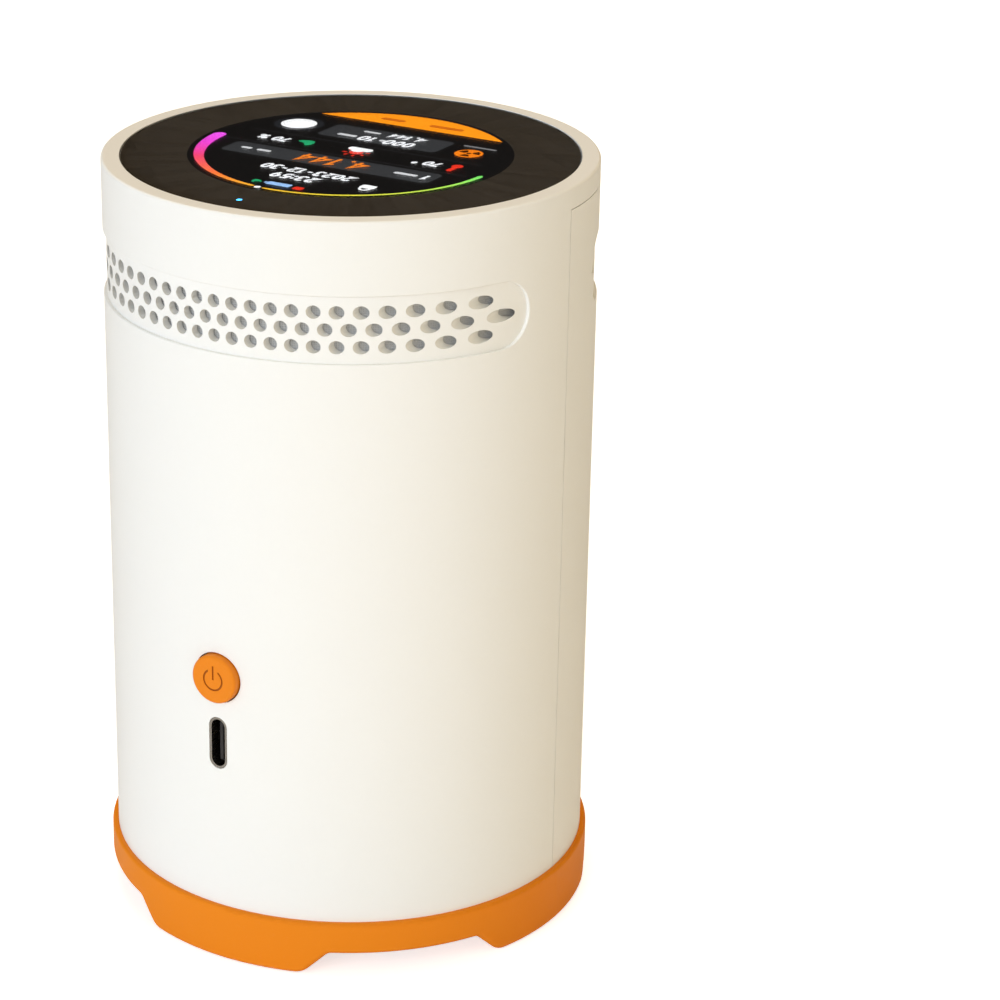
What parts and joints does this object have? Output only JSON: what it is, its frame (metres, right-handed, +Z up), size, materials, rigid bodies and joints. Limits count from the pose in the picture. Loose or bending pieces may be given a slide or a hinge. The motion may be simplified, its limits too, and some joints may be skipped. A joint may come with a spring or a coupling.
{
  "type": "air quality monitor",
  "caption": "Cylindrical table-top air and radon monitor with a round display under glass on top, perforated vent bands, a push button, a charging socket and a footed base.",
  "frame": {"origin": "centre of the plane that the foot pads rest on, on the body's axis", "axes": "+Z up along the body's axis, -Y towards the power button and charging socket"},
  "size_m": [0.082, 0.0822, 0.1276],
  "materials": {
    "housing_white": "fine moulded matt",
    "accent_orange": "fine moulded matt",
    "cover_glass": "polished clear",
    "mask_black": "printed under glass",
    "tape_black": "foam tape",
    "display_cell": "dark display surface",
    "diffuser_white": "diffusing",
    "thin_steel": "pressed sheet",
    "chassis_grey": "moulded",
    "board_green": "solder mask",
    "chip_black": "moulded epoxy",
    "connector_cream": "moulded",
    "light_pipe_clear": "clear moulded",
    "flex_amber": "polyimide film",
    "ribbon_white": "flat cable",
    "chamber_aluminium": "drawn can",
    "electrode_brass": "turned",
    "insulator_white": "fluoropolymer",
    "screw_steel": "zinc plated",
    "socket_steel": "plated",
    "socket_black": "moulded",
    "filter_mesh": "woven mesh",
    "pad_rubber": "soft",
    "cell_wrap": "shrink sleeve",
    "contact_nickel": "nickel strip",
    "lead_red": "insulated lead"
  },
  "bodies": {
    "case": {"front_housing": "housing_white", "rear_cover": "housing_white", "base": "accent_orange", "foot_pads": "pad_rubber", "vent_filter_front": "filter_mesh", "vent_filter_rear": "filter_mesh", "base_screws": "screw_steel", "cover_glass": "cover_glass", "glass_mask": "mask_black", "glass_tape": "tape_black", "display_cell": "display_cell", "display_backlight": "diffuser_white", "display_bezel": "thin_steel", "display_carrier": "chassis_grey", "carrier_screws": "screw_steel", "display_flex": "flex_amber", "main_board": "board_green", "board_screws": "screw_steel", "display_socket": "connector_cream", "status_led": "diffuser_white", "light_pipe": "light_pipe_clear", "processor": "chip_black", "climate_sensor": "insulator_white", "radio_module": "thin_steel", "buzzer": "chip_black", "chamber_board": "board_green", "chamber_can": "chamber_aluminium", "chamber_lid": "chamber_aluminium", "electrode_insulator": "insulator_white", "centre_electrode": "electrode_brass", "amplifier_shield": "thin_steel", "amplifier_chip": "chip_black", "chamber_screws": "screw_steel", "ribbon_sockets": "connector_cream", "signal_ribbon": "ribbon_white", "switch_body": "chip_black", "usb_shell": "socket_steel", "usb_tongue": "socket_black", "io_board": "board_green", "io_board_screws": "screw_steel", "charge_controller": "chip_black", "power_inductor": "chip_black", "link_sockets": "connector_cream", "link_ribbon": "ribbon_white", "chassis": "chassis_grey", "chassis_screws": "screw_steel", "battery_cradle": "chassis_grey", "battery_cell": "cell_wrap", "battery_contacts": "contact_nickel", "battery_socket": "connector_cream", "battery_plug": "connector_cream", "battery_leads": "lead_red"},
    "button": {"power_button": "accent_orange", "switch_plunger": "connector_cream"}
  },
  "joints": [
    {"name": "button_press", "type": "slide", "parent": "case", "child": "button", "axis": [0, 1, 0], "range_m": [0, 0.0005], "stiffness_N_per_m": 3000}
  ]
}
